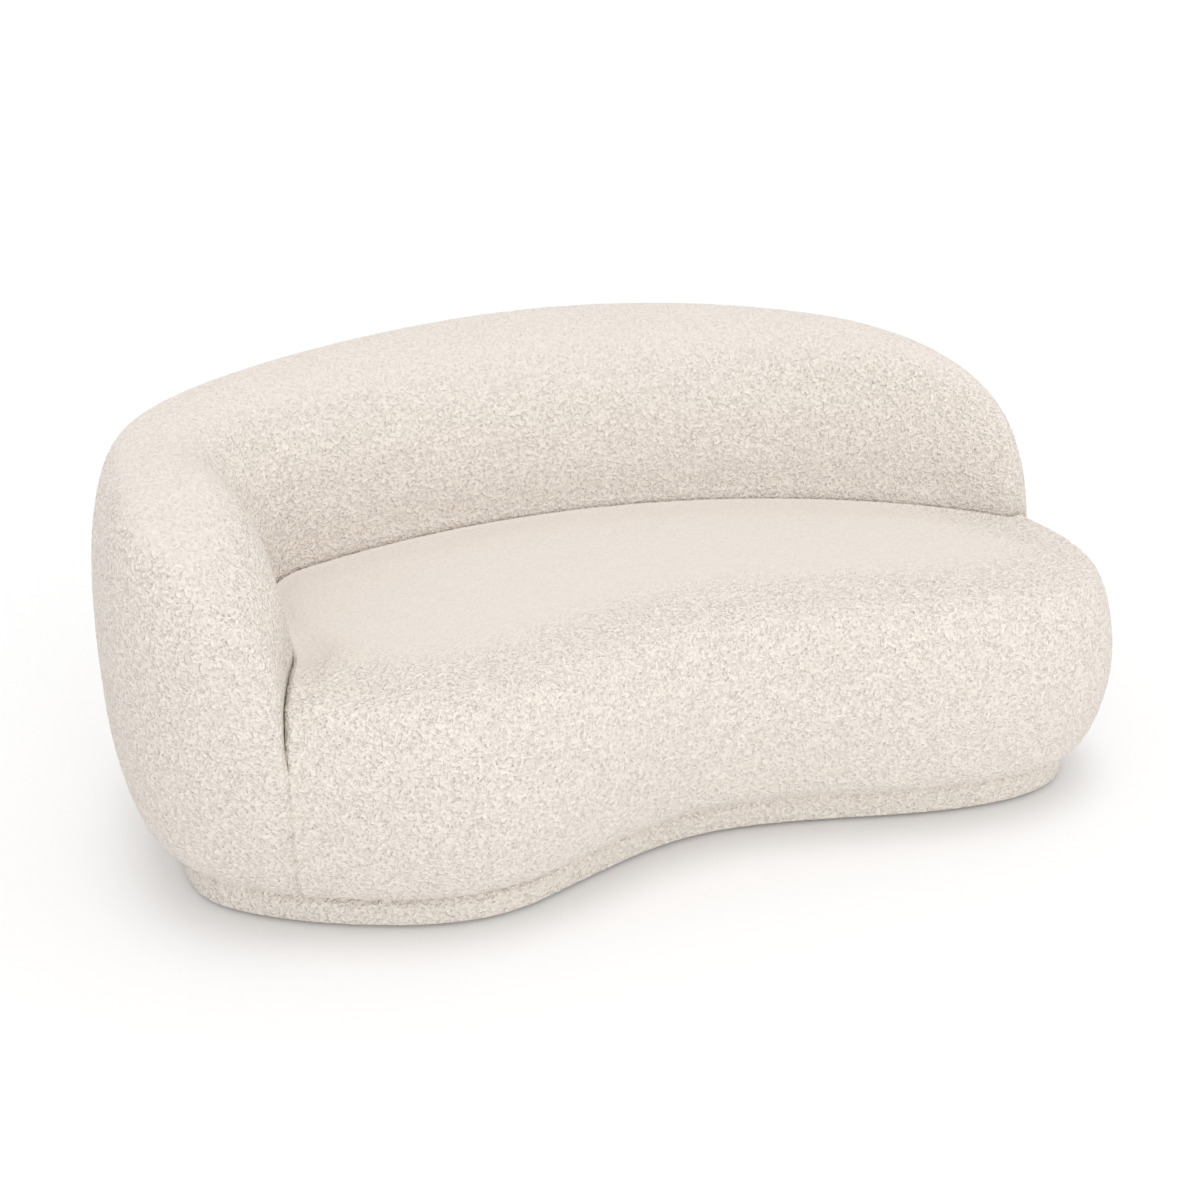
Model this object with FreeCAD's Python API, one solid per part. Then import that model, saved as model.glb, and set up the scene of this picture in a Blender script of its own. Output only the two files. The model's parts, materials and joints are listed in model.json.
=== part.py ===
import FreeCAD, Part
import math
import os
from FreeCAD import Vector

# A kidney-shaped, fully upholstered sofa on a recessed plinth.
# Millimetres.  +X runs along the sofa's length, -Y is the front, +Z is up.
# The origin is on the floor, at the middle of the sofa's bounding box.
#
# Everything hangs on two plan curves.  The outline is the outside of the plinth.
# The crease is the line where the seat meets the inside of the backrest.
# The backrest is a band between them: it starts at a seam on the left front, turns round
# the left end as an arm, runs along the back and sinks into the seat at the right end.
# The band is lofted through upright sections, called stations, whose height, thickness and
# roundness change along its length.  The seat is lofted through level rings.

# ---------------------------------------------------------------- driving dimensions
# Outline of the plinth: the control points of a closed smooth curve, anticlockwise
# from the right front.
OUTLINE_POLES = [(515, -455), (880, -460), (850, -105), (480, 320), (0, 470), (-510, 350),
                 (-815, 160), (-825, -55), (-835, -270), (-595, -380), (-295, -490), (50, -300)]
TIP_NEAR = Vector(817, -145, 0)      # where the backrest's right tip meets the outline
BAND_LENGTH = 2488.0                 # from that tip, round the back, to the left front seam

# The crease: a long arc, a tight arc at the left corner and a straight run to the seam.
CREASE_CENTRE = Vector(-100, -1339, 0)
CREASE_RADIUS = 1480.0
CORNER_RADIUS = 120.0
CREASE_CORNER = Vector(-628, 44, 0)  # the straight run points at this corner
SEAM_THICKNESS = 150.0               # thickness of the arm at the seam
SEAM_LEAN = 22.0                     # the seam's inner end stands this far left of square
CORNER_PLACE = 1829.0                # distance along the outline that faces the crease's corner

# Heights.
GLIDE_HEIGHT = 8.0
PLINTH_TOP = 58.0
PLATFORM_TOP = 73.0
FRAME_TOP = 250.0
FOAM_SPLIT = 385.0                   # the firm foam block ends and the soft topper starts
SEAT_HEIGHT = 447.0                  # rim of the seat, and the level of the crease
SEAT_CROWN = 8.0                     # the seat's middle stands this much above its rim
BACK_HEIGHT = 761.0

# Upholstered profiles, given as reach outside the outline.  Each is two quarter
# superellipses: from the bottom edge out to the widest line, then in to the top.
SEAT = {"reach": 66.0, "widest": 242.0, "rim": 4.0, "under": 1.855, "over": 1.668}
BACK = {"reach": 88.0, "widest": 341.0, "rim": 13.0, "under": 1.91, "over": 2.27}
INNER_POWER = 2.31                   # roundness of the backrest's inside face
BOTTOM_REACH = 4.0
CROWN_STEPS = [(45, 0.7), (95, 1.0)]  # reach inside the seat's rim, share of the crown

# How the band's height falls to the seat at its two ends.
TIP_FALL, TIP_POWER = 560.0, 2.8
TIP_LAG = 2.5                        # at the tip the roundness grows later than the height
ARM_FALL, ARM_POWER = 488.0, 2.2

# Upholstery.
COVER = 4.0                          # curly fabric with its backing
PLINTH_COVER = 3.0
DUST_COVER = 0.8
DUST_EDGE = -18.0
GAP = 0.3                            # between soft pieces that lie against each other
TUCK = 92.0                          # the back cover goes this far down behind the seat
BACK_FOAM = 70.0                     # foam on the inside of the backrest's frame

# Frame.
BOARD = 18.0
BENT_BOARD = 4.0
SKIRT = 9.0
BOARD_EDGE = -3.0                    # the plywood stands this far inside the plinth's cover
RAIL_EDGE = -12.0                    # outside of the seat's front rail
RIB_SPOTS = [-310, -120, 170, 330, 560]
RIB_TOP = FRAME_TOP - 35
BACK_TOP = 640.0                     # top of the backrest's frame
MIDDLE_RAIL = 300.0
MIDDLE_RAIL_DEPTH = 60.0
BACK_RIBS = [1, 2, 4, 6, 8, 10]      # the frame stations that carry a rib
LINING = 3.0
RAIL_INSET = 2.0                     # between the seat's frame and what is beside it
WEBBING, WEBBING_WIDTH = 2.0, 60.0

# Plinth.
CROSS_RAILS = [-330, 60, 450]
BLOCK = 50.0
GLIDES, GLIDE_START = 6, 134.0       # the first glide's distance from the right tip
GLIDE_RADIUS = 22.0
GLIDE_INSET = 39.0

# Fineness of the forms.
RING_POINTS = 52
COVER_STEPS, FOAM_STEPS = 4, 3
TIP_STEPS, LEVEL_STEPS, CORNER_STEPS = 6, 7, 4
TALL = 900.0                         # taller than anything here
WIDE = 3000.0

os.makedirs("parts", exist_ok=True)


def save(name, solids):
    """Write one node; a list is written as a group of separate solids."""
    shape = solids if isinstance(solids, Part.Shape) else Part.Compound(solids)
    shape.exportStep("parts/" + name + ".step")


def quarter(angle, power):
    """A point of a quarter superellipse of unit size, at this angle in degrees."""
    turn = math.radians(angle)
    return max(math.cos(turn), 0.0) ** (2 / power), max(math.sin(turn), 0.0) ** (2 / power)


def blend(low, high, weight):
    return low + (high - low) * weight


def evenly(first, last, steps):
    """Values from first to last, without the last one."""
    return [blend(first, last, step / steps) for step in range(steps)]


def polygon(points):
    return Part.makePolygon(points + points[:1])


def slab(face, low, high):
    """A flat face at z = 0 made into a plate between two heights."""
    plate = face.extrude(Vector(0, 0, high - low))
    plate.translate(Vector(0, 0, low))
    return plate


def layer(low, high):
    return Part.makeBox(WIDE, WIDE, high - low, Vector(-WIDE / 2, -WIDE / 2, low))


def loft(wires):
    return Part.makeLoft(wires, True, True)


# ---------------------------------------------------------------- the outline
def closed_curve(poles):
    curve = Part.BSplineCurve()
    knots = list(range(len(poles) + 1))
    curve.buildFromPolesMultsKnots([Vector(x, y, 0) for x, y in poles],
                                   [1] * len(knots), knots, True, 3)
    return curve


outline = closed_curve(OUTLINE_POLES)
TIP = outline.parameter(TIP_NEAR)


def outward(spot):
    along = outline.tangent(spot)[0]
    return Vector(along.y, -along.x, 0)


def on_outline(distance):
    """The point and outward normal this far round the outline from the right tip."""
    spot = outline.parameterAtDistance(distance, TIP)
    return outline.value(spot), outward(spot)


def ring(offset, z):
    """The outline moved out by offset, as a many-sided wire at height z."""
    spots = evenly(outline.FirstParameter, outline.LastParameter, RING_POINTS)
    return polygon([outline.value(spot) + outward(spot) * offset + Vector(0, 0, z)
                    for spot in spots])


def board(offset, low, high):
    """A plate whose edge is the outline moved out by offset."""
    return slab(Part.Face(ring(offset, 0)), low, high)


def wall(outer, thickness, low, high):
    """An upright wall that follows the outline."""
    return board(outer, low, high).cut(board(outer - thickness, low - 1, high + 1))


# ---------------------------------------------------------------- the crease
def arc_point(centre, radius, angle):
    return centre + Vector(math.cos(angle), math.sin(angle), 0) * radius


def angle_of(vector):
    return math.atan2(vector.y, vector.x)


class Crease:
    """The line at the foot of the backrest; distances start at the right tip."""

    def __init__(self):
        seam, seam_normal = on_outline(BAND_LENGTH)
        lean = Vector(-seam_normal.y, seam_normal.x, 0) * SEAM_LEAN
        self.kink = seam - seam_normal * SEAM_THICKNESS - lean
        self.run_way = (CREASE_CORNER - self.kink).normalize()
        right = Vector(self.run_way.y, -self.run_way.x, 0)
        start = self.kink + right * CORNER_RADIUS
        self.run = self.reach(start, self.run_way, CREASE_RADIUS - CORNER_RADIUS)
        self.corner_centre = start + self.run_way * self.run
        tip, tip_normal = on_outline(0)
        tip_way = tip_normal * -1
        offset = tip - CREASE_CENTRE
        along = offset.dot(tip_way)
        depth = -math.sqrt(along ** 2 - offset.dot(offset) + CREASE_RADIUS ** 2) - along
        self.first = angle_of(tip + tip_way * depth - CREASE_CENTRE)
        self.last = angle_of(self.corner_centre - CREASE_CENTRE)
        self.turn = angle_of(right * -1) % (2 * math.pi) - self.last
        self.long = CREASE_RADIUS * (self.last - self.first)
        self.corner_end = self.long + CORNER_RADIUS * self.turn
        self.corner_middle = (self.long + self.corner_end) / 2
        self.length = self.corner_end + self.run

    def reach(self, start, way, radius):
        """How far along a way the circle of this radius about the crease's centre lies."""
        offset = start - CREASE_CENTRE
        along = offset.dot(way)
        return math.sqrt(radius ** 2 - offset.dot(offset) + along ** 2) - along

    def point(self, distance):
        if distance < self.long:
            return arc_point(CREASE_CENTRE, CREASE_RADIUS, self.first + distance / CREASE_RADIUS)
        if distance < self.corner_end:
            angle = self.last + (distance - self.long) / CORNER_RADIUS
            return arc_point(self.corner_centre, CORNER_RADIUS, angle)
        return self.kink + self.run_way * (self.length - distance)


crease = Crease()


# ---------------------------------------------------------------- sections of the band
class Station:
    """An upright plane across the band, from the outline to the crease."""

    def __init__(self, distance, tallness, fullness=None):
        """Tallness and fullness are 0 at the seat's height and roundness and 1 at the back's."""
        fullness = tallness if fullness is None else fullness
        self.foot, normal = on_outline(distance)
        if distance < CORNER_PLACE:
            inner = crease.corner_middle * distance / CORNER_PLACE
        else:
            rest = (distance - CORNER_PLACE) / (BAND_LENGTH - CORNER_PLACE)
            inner = blend(crease.corner_middle, crease.length, rest)
        self.crease = crease.point(inner)
        across = self.foot - self.crease
        self.thickness = across.Length
        self.out = across.normalize()
        self.slant = 1 / self.out.dot(normal)
        self.height = blend(SEAT_HEIGHT, BACK_HEIGHT, tallness)
        self.reach = blend(SEAT["reach"], BACK["reach"], fullness)
        self.widest = blend(SEAT["widest"], BACK["widest"], fullness)
        self.under = blend(SEAT["under"], BACK["under"], fullness)
        self.over = blend(SEAT["over"], BACK["over"], fullness)
        rim = blend(SEAT["rim"], BACK["rim"], fullness)
        self.rim = min(rim * self.slant, self.thickness * 0.7)

    def at(self, reach, z=0.0):
        return self.foot + self.out * reach + Vector(0, 0, z)

    def skin(self, inset, steps, bottom=PLINTH_TOP):
        """Points up the outside, over the top and down the inside to the crease, with this
        many steps to each of the three quarters."""
        drop = self.widest - PLINTH_TOP
        start = math.degrees(math.asin(((self.widest - bottom) / drop) ** (self.under / 2)))
        points = []
        for angle in evenly(start, 0, steps):
            x, y = quarter(angle, self.under)
            reach = blend(BOTTOM_REACH, self.reach, x) - inset
            points.append((reach * self.slant, self.widest - drop * y))
        top = self.height - inset
        side = (self.reach - inset) * self.slant
        for angle in evenly(0, 90, steps):
            x, y = quarter(angle, self.over)
            points.append((blend(-self.rim, side, x), blend(self.widest, top, y)))
        for angle in evenly(0, 90, steps) + [90]:
            x, y = quarter(angle, INNER_POWER)
            reach = blend(-self.rim, inset - self.thickness, y)
            points.append((reach, blend(SEAT_HEIGHT, top, x)))
        return [self.at(reach, z) for reach, z in points]


def make_stations():
    """Close together where the height falls and round the crease's corner."""
    stations = []
    for angle in evenly(0, 90, TIP_STEPS):
        x, y = quarter(angle, TIP_POWER)
        stations.append(Station(TIP_FALL * (1 - x), y, y ** TIP_LAG))
    corner_start = CORNER_PLACE * crease.long / crease.corner_middle
    arm_start = BAND_LENGTH - ARM_FALL
    level = evenly(TIP_FALL, corner_start, LEVEL_STEPS)
    for distance in level + evenly(corner_start, arm_start, CORNER_STEPS):
        stations.append(Station(distance, 1.0))
    for angle in [90, 85, 77, 67, 55, 42, 28, 14, 0]:
        x, y = quarter(angle, ARM_POWER)
        stations.append(Station(BAND_LENGTH - ARM_FALL * (1 - x), y))
    return stations


stations = make_stations()
FRAME_FIRST = TIP_STEPS               # the stations between which the height is full
FRAME_LAST = TIP_STEPS + LEVEL_STEPS + CORNER_STEPS
frame_stations = stations[FRAME_FIRST:FRAME_LAST + 1]


# ---------------------------------------------------------------- plans
def ground(inset):
    """The ground in front of the crease, drawn in by inset, as a tall block."""
    spots = [station.crease for station in stations]
    far = [stations[-1].at(400), Vector(-1100, -1200, 0), Vector(1500, -1200, 0), stations[0].at(400)]
    return slab(Part.Face(polygon(spots + far)).makeOffset2D(-inset, 2), 0, TALL)


def frame_ground():
    """The ground of the backrest's frame, across the band, as a tall block."""
    outer = [station.at(200) for station in frame_stations]
    inner = [station.at(-station.thickness - 60) for station in frame_stations[::-1]]
    return slab(Part.Face(polygon(outer + inner)), 0, TALL)


def frame_plate(outer, inner, low, high):
    """A plate of the backrest's frame, between outer inside the outline and inner outside
    the crease."""
    plate = board(-outer, low, high).cut(ground(-inner))
    return plate.common(frame_ground())


# ---------------------------------------------------------------- upholstery of the band
def cover_section(station):
    outer = station.skin(0.0, COVER_STEPS)
    inner = station.skin(COVER, FOAM_STEPS)
    low = SEAT_HEIGHT - TUCK
    tuck = [station.at(-station.thickness, low), station.at(COVER - station.thickness, low)]
    return polygon(outer + tuck + inner[::-1])


def foam_section(station):
    back = station.at(COVER + GAP - station.thickness, PLATFORM_TOP)
    return polygon(station.skin(COVER + GAP, FOAM_STEPS, PLATFORM_TOP) + [back])


def back_cover():
    return loft([cover_section(station) for station in stations])


def back_foam():
    """Foam round the frame: thick on the inside, shaped to the bulge on the outside, and
    solid in the two ends where the band falls to the seat."""
    whole = loft([foam_section(station) for station in stations])
    return whole.cut(frame_plate(-BOARD_EDGE, BACK_FOAM, 0, BACK_TOP))


# ---------------------------------------------------------------- frame of the backrest
def back_rib(station, middle_rail):
    """An upright plywood former, notched for the middle rail."""
    outer = BOARD_EDGE - BENT_BOARD - 1
    inner = BACK_FOAM + LINING + 1 - station.thickness
    low, high = PLATFORM_TOP + BOARD, BACK_TOP - BOARD
    corners = [station.at(outer, low), station.at(outer, high), station.at(inner, high),
               station.at(inner, low)]
    normal = Vector(-station.out.y, station.out.x, 0) * BOARD
    rib = Part.Face(polygon(corners)).extrude(normal)
    rib.translate(normal * -0.5)
    return rib.cut(middle_rail)


def back_lining():
    """A thin bent board on the inside of the ribs, behind the foam."""
    lining = board(BOARD_EDGE, PLATFORM_TOP, BACK_TOP).common(frame_ground())
    return lining.cut(ground(-BACK_FOAM)).common(ground(-BACK_FOAM - LINING))


# ---------------------------------------------------------------- seat
def body(inset=0.0, bottom=PLINTH_TOP):
    """The seat's swelling form over the whole outline, before the backrest is taken out."""
    drop = SEAT["widest"] - PLINTH_TOP
    top = SEAT_HEIGHT - inset
    levels = [(BOTTOM_REACH - inset, bottom)] if bottom < PLINTH_TOP else []
    for angle in (90, 67, 45, 22):
        x, y = quarter(angle, SEAT["under"])
        levels.append((blend(BOTTOM_REACH, SEAT["reach"], x) - inset, SEAT["widest"] - drop * y))
    for angle in (0, 18, 36, 54, 72, 90):
        x, y = quarter(angle, SEAT["over"])
        reach = blend(-SEAT["rim"], SEAT["reach"] - inset, x)
        levels.append((reach, blend(SEAT["widest"], top, y)))
    for inside, share in CROWN_STEPS:
        levels.append((-SEAT["rim"] - inside, top + SEAT_CROWN * share))
    return loft([ring(reach, z) for reach, z in levels])


def make_seat():
    """The soft parts of the seat, cut from one swelling form."""
    room = ground(GAP)
    deck = FRAME_TOP + 2 * WEBBING
    cover = body().common(room).cut(body(COVER, PLINTH_TOP - 2))
    filling = body(COVER + GAP).common(room)
    border = filling.common(layer(PLATFORM_TOP, deck)).cut(board(RAIL_EDGE, 0, deck))
    return {"seat_cover": cover, "seat_topper_foam": filling.common(layer(FOAM_SPLIT, TALL)),
            "seat_foam_block": filling.common(layer(deck, FOAM_SPLIT)),
            "seat_border_foam": border}


def seat_plate(outer, inset, low, high):
    """A plate over the seat's ground, outer inside the outline and inset inside the crease."""
    return board(-outer, low, high).common(ground(inset))


def front_rail():
    """The bent board under the seat's front, from the seam round the right end."""
    return wall(RAIL_EDGE, BOARD, PLATFORM_TOP, FRAME_TOP).common(ground(RAIL_INSET))


def rear_rail():
    """A bent board along the crease, between the ends of the front rail."""
    room = board(RAIL_EDGE - BOARD - RAIL_INSET, PLATFORM_TOP, FRAME_TOP)
    return room.common(ground(RAIL_INSET)).cut(ground(RAIL_INSET + BOARD))


def cross_ribs():
    room = seat_plate(BOARD - RAIL_EDGE, BOARD + RAIL_INSET, PLATFORM_TOP, RIB_TOP)
    ribs = []
    for x in RIB_SPOTS:
        ribs += room.common(Part.makeBox(BOARD, WIDE, TALL, Vector(x, -WIDE / 2, 0))).Solids
    return ribs


def seat_webbing(low, along_x, first, step, count):
    """Parallel strips stretched over the seat's rails."""
    room = seat_plate(RAIL_INSET - RAIL_EDGE, 2 * RAIL_INSET, low, low + WEBBING)
    strips = []
    for place in evenly(first, first + step * count, count):
        if along_x:
            cutter = Part.makeBox(WIDE, WEBBING_WIDTH, TALL, Vector(-WIDE / 2, place, 0))
        else:
            cutter = Part.makeBox(WEBBING_WIDTH, WIDE, TALL, Vector(place, -WIDE / 2, 0))
        strips += room.common(cutter).Solids
    return strips


# ---------------------------------------------------------------- plinth and platform
def skirts():
    """The bent plywood wall of the plinth, in four lengths."""
    ring_wall = wall(BOARD_EDGE, SKIRT, GLIDE_HEIGHT, PLINTH_TOP)
    cutters = {"left": (-1560, -1500, 1000, 3000), "right": (560, -1500, 1000, 3000),
               "front": (-560, -1400, 1120, 1400), "back": (-560, 0, 1120, 1400)}
    return {"plinth_skirt_" + side: ring_wall.common(Part.makeBox(dx, dy, TALL, Vector(x, y, 0)))
            for side, (x, y, dx, dy) in cutters.items()}


def cross_rails():
    """Straight rails across the plinth, from skirt to skirt."""
    room = board(BOARD_EDGE - SKIRT, GLIDE_HEIGHT, PLINTH_TOP)
    rails = []
    for x in CROSS_RAILS:
        rails += room.common(Part.makeBox(BOARD, WIDE, TALL, Vector(x, -WIDE / 2, 0))).Solids
    return rails


def edge_places(inset):
    """Places this far inside the outline, one over each glide, and the normals there."""
    for distance in evenly(GLIDE_START, GLIDE_START + outline.length(), GLIDES):
        spot, normal = on_outline(distance % outline.length())
        yield spot - normal * inset, normal


def glides():
    """Low round glides under the blocks of the plinth."""
    return [Part.makeCylinder(GLIDE_RADIUS, GLIDE_HEIGHT - DUST_COVER, place)
            for place, _ in edge_places(GLIDE_INSET)]


def glue_blocks(inset, low, high):
    """Blocks glued into a corner, square to the outline."""
    solids = []
    for place, normal in edge_places(inset):
        out = normal * (BLOCK / 2)
        along = Vector(-out.y, out.x, 0)
        corners = [place - out - along, place + out - along, place + out + along, place - out + along]
        solids.append(slab(Part.Face(polygon(corners)), low, high))
    return solids


# ---------------------------------------------------------------- the nodes
save("glides", glides())
save("dust_cover", board(DUST_EDGE, GLIDE_HEIGHT - DUST_COVER, GLIDE_HEIGHT))
for name, solid in skirts().items():
    save(name, solid)
save("plinth_cross_rails", cross_rails())
save("plinth_blocks", glue_blocks(GLIDE_INSET, GLIDE_HEIGHT, PLINTH_TOP))
save("plinth_cover", wall(0, PLINTH_COVER, GLIDE_HEIGHT, PLINTH_TOP))
save("platform_board", board(BOARD_EDGE, PLINTH_TOP, PLATFORM_TOP))
save("seat_front_rail", front_rail())
save("seat_rear_rail", rear_rail())
save("seat_cross_ribs", cross_ribs())
save("seat_cross_webbing", seat_webbing(FRAME_TOP, False, -590, 125, 11))
save("seat_long_webbing", seat_webbing(FRAME_TOP + WEBBING, True, -390, 110, 5))
for name, solid in make_seat().items():
    save(name, solid)

back_edge = BENT_BOARD - BOARD_EDGE
lining_back = BACK_FOAM + LINING
middle_rail = frame_plate(back_edge, lining_back, MIDDLE_RAIL, MIDDLE_RAIL + BOARD)
middle_rail = middle_rail.cut(board(-back_edge - MIDDLE_RAIL_DEPTH, 0, TALL))
save("back_foot_rail", frame_plate(back_edge, lining_back, PLATFORM_TOP, PLATFORM_TOP + BOARD))
save("back_middle_rail", middle_rail)
save("back_top_rail", frame_plate(back_edge, lining_back, BACK_TOP - BOARD, BACK_TOP))
for number, place in enumerate(BACK_RIBS, start=1):
    save("back_rib_%d" % number, back_rib(frame_stations[place], middle_rail))
save("back_outer_board", wall(BOARD_EDGE, BENT_BOARD, PLATFORM_TOP, BACK_TOP).common(frame_ground()))
save("back_lining", back_lining())
save("back_foam", back_foam())
save("back_cover", back_cover())
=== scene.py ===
import bpy
import json
import math
import numpy as np
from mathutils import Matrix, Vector
from mathutils.bvhtree import BVHTree


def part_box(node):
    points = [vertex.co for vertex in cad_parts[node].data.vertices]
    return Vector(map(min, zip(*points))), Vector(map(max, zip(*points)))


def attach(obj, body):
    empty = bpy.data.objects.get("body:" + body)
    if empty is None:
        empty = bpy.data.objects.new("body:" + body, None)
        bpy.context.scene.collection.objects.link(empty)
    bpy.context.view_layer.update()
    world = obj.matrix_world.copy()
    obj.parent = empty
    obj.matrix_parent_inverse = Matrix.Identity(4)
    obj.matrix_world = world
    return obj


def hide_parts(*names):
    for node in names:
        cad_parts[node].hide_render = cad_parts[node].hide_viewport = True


# A kidney-shaped sofa in curly cream fabric.  Metres, in the CAD model's frame:
# +X along the sofa, -Y to the front, +Z up.  Plan sizes are millimetres, as in the CAD
# source, and become metres when a piece is made.

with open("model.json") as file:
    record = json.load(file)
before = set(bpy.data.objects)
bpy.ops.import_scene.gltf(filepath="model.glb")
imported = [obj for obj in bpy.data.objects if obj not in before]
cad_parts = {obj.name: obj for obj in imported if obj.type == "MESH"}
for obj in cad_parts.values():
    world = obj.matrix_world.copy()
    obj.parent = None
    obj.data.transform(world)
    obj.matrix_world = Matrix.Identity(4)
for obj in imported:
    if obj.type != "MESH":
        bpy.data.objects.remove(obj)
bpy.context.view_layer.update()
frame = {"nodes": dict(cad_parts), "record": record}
bpy.context.scene.view_settings.view_transform = "Standard"

# ---------------------------------------------------------------- the sofa's sizes
# The plan.  Poles run round the outline from the right front; the foot of the backrest is a
# crease, made of a long arc, a tight corner at the left and a short run to the seam.
OUTLINE_POLES = [(515, -455), (880, -460), (850, -105), (480, 320), (0, 470), (-510, 350),
                 (-815, 160), (-825, -55), (-835, -270), (-595, -380), (-295, -490), (50, -300)]
SPLINE_STEPS = 400                  # points for each pole
NEAREST_STEPS = 600                 # points round the outline where the nearest one is sought
WEAR_AND_SHADE_STEP = 60                      # only every so many of its points count for the wear and painted shade
CREASE_STEPS = 160
TIP_NEAR = (817, -145)              # where the backrest's right tip meets the outline
BAND_LENGTH = 2488.0                # from that tip, round the back, to the left front seam
CREASE_CENTRE = np.array([-100.0, -1339.0])
CREASE_RADIUS = 1480.0
CORNER_RADIUS = 120.0
CREASE_CORNER = np.array([-628.0, 44.0])
SEAM_THICKNESS = 150.0              # the arm's thickness at the seam
SEAM_LEAN = 22.0                    # the seam's inner end lies this far off square
CORNER_PLACE = 1829.0               # the band turns the crease's corner here

# Heights, and the pads' sections: how far they reach past the outline, how high they are
# widest, how far in the rim lies, and how square they are under and over their widest place.
PLINTH_TOP = 58.0
SEAT_HEIGHT = 447.0
BACK_HEIGHT = 761.0
SEAT = {"reach": 66.0, "widest": 242.0, "rim": 4.0, "under": 1.855, "over": 1.668}
BACK = {"reach": 88.0, "widest": 341.0, "rim": 13.0, "under": 1.91, "over": 2.27}
MOST_RIM = 0.7                      # a share of the band's thickness
INNER_POWER, ARM_INNER_POWER = 2.31, 3.5  # how square the inner shoulder is, and on the arm
ARM_STARTS, ARM_FULL = CORNER_PLACE + 60, BAND_LENGTH - 260
BOTTOM_REACH = 4.0
# Over this length the band falls at its right tip and at the arm's front, this squarely; at
# the tip it grows full later than it grows tall.
TIP_FALL, TIP_POWER, TIP_LAG = 560.0, 2.8, 2.5
ARM_FALL, ARM_POWER = 488.0, 2.2
SEAT_CROWN = 8.0
CROWN = [(25, 0.42), (45, 0.68), (70, 0.88), (95, 1.0)]  # its shares, this far in from the rim
SECTION_STEPS = 24                  # points along each part of a section
FALL_STEPS, LEVEL_STEPS = 36, 100   # sections where the band falls and where it is level
SEAT_AROUND, PLINTH_AROUND, DUST_AROUND = 400, 1440, 240

# The pads' cloth.
SWELL = 3.0                         # they start this much smaller and swell in the cloth step
MOST_SWELL = 6.0
CLOTH_STEPS = 20
LEAST_OUT, MOST_OUT = -0.0015, 0.002  # how far the cloth may then stand off its form, metres
ROUND = 14.0                        # the pads round over this near to where they meet
COVER_FACE = 0.0135                 # size of a face before the last subdivisions, metres
FOAM_FACE = 0.012
FOAM_SHRINK = 8.0                   # the foam keeps this far inside its plain block

# The seams between the pads: a groove above, closed below.
SEAM_CLOSES, SEAM_OPENS = 0.315, 0.40  # heights in metres
GROOVE, GROOVE_WIDTH, GROOVE_POWER, WALL_GAP = 4.5, 3.5, 1.5, 0.8
EDGE_BAND, EDGE_CRISP = 24, 12      # the crisp form comes back this near to where they meet
ON_WALL, ON_SEAM = 0.4, 2           # this near to the line, a point lies on the hidden wall
LAP, LAP_REACH = 8.0, 15.0          # below an open seam the pads' edges run under each other
LAP_SINK, LAP_SPARE = 0.008, 4
CREASE_KEEP = 30                    # the lap stays this far from the crease
OVER_PLINTH = PLINTH_TOP / 1000 + 0.002  # just above the pads' flat undersides, metres

# By the top of the left seam the seat dips and the arm bulges over it.  Places are measured
# from the seam's inner end.
DIP_PLACE, DIP_SIZE, DIP_DEPTH = (26, -4), (48, 48, 900), 0.017
DIP_STARTS, DIP_FULL, DIP_ENDS = 0.36, 0.44, 0.462  # heights in metres
BULGE_PLACE, BULGE_RISE, BULGE_SIZE, BULGE_DEPTH = (-6, 62), 38, (45, 75, 45), 0.006

# The pads' feet are drawn in over the plinth, most at the left end and least round the left
# front lobe.  Heights in metres.
FOOT_TUCK, FOOT_STARTS, FOOT_FULL = 8.0, 0.11, 0.06
END_TUCK, END_STARTS, END_FULL = 18.0, 0.165, 0.07
END_FROM, END_TO = 0.62, 0.8        # the left end lies this far left of the middle, metres
TUCK_TOP = 0.20
TUCK_KEEP = 60                      # no tuck this near to the crease
LOBE_PLACE, LOBE_REACH, LOBE_EASE = 2680.0, 230, 0.8

# The plinth's strip, as reaches past the outline and heights.
PLINTH_WADDING = 5.0                # its face stands this proud of the groove over it
LOBE_WADDING = 10.0                 # and this much more round the left front lobe
END_PLACE, END_REACH = 2135.0, 95   # but it has none at the left end
PLINTH_SHOULDER = [(4.6, 48.0), (3.8, 50.8), (2.7, 53.2), (1.4, 55.4), (0.5, 58.0),
                   (0.1, 62.5), (0.1, 67.0)]
PLINTH_UNDER = [(-16.0, 7.9), (-16.0, 6.6), (-10.0, 6.4), (-3.0, 6.5), (2.0, 7.2), (4.2, 9.2)]

# The dust cloth under the plinth.
DUST_EDGE = -18.0
DUST_CENTRE = np.array([-20.0, 40.0])
DUST_DROP, DUST_SLACK, DUST_THICKNESS = 1.2, 0.7, 0.0006  # the last one in metres
DUST_WAVES = 90, 70                 # the slack's waves, along the sofa and across it
DUST_RINGS, DUST_MIDDLE = 26, 0.03  # rings of faces, and the innermost one's share of the size

# The pile stands up on what shows and lies flatter where the sofa is worn; there the material also
# paints the fabric darker, painted shade that evens the flat top with the self-shaded pile.
PILE_LEVELS = 20
FLOOR_FADE = 0.006, 0.012           # it starts between these heights, metres
WALL_FADE = 1, 20                   # and between these distances from where the pads meet
LAP_KEEP = 40
SEAT_WORN_AND_SHADED = 60, 200                 # the seat is worn, and painted darker as shade, between these distances from its edge
SEAT_TOP = 0.42                     # the seat's top lies over this height, metres
# The backrest's top gets this share of the wear and painted shade, on faces turned up between these
# amounts, above this height in metres.
BACK_WEAR_AND_SHADE, BACK_WORN_AND_SHADED, BACK_OVER = 0.55, (0.55, 0.95), 0.5
WORN_PILE = 0.3                     # what is left of the pile where it is worn
TUFT_SIZE, TUFT_DEPTH = 0.009, 0.0012
CURL_SIZE, CURL_DEPTH = 0.0095, -0.0018


def blend(low, high, weight):
    return low + (high - low) * weight


def smooth_step(value, low, high):
    share = np.clip((value - low) / (high - low), 0, 1)
    return share * share * (3 - 2 * share)


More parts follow.
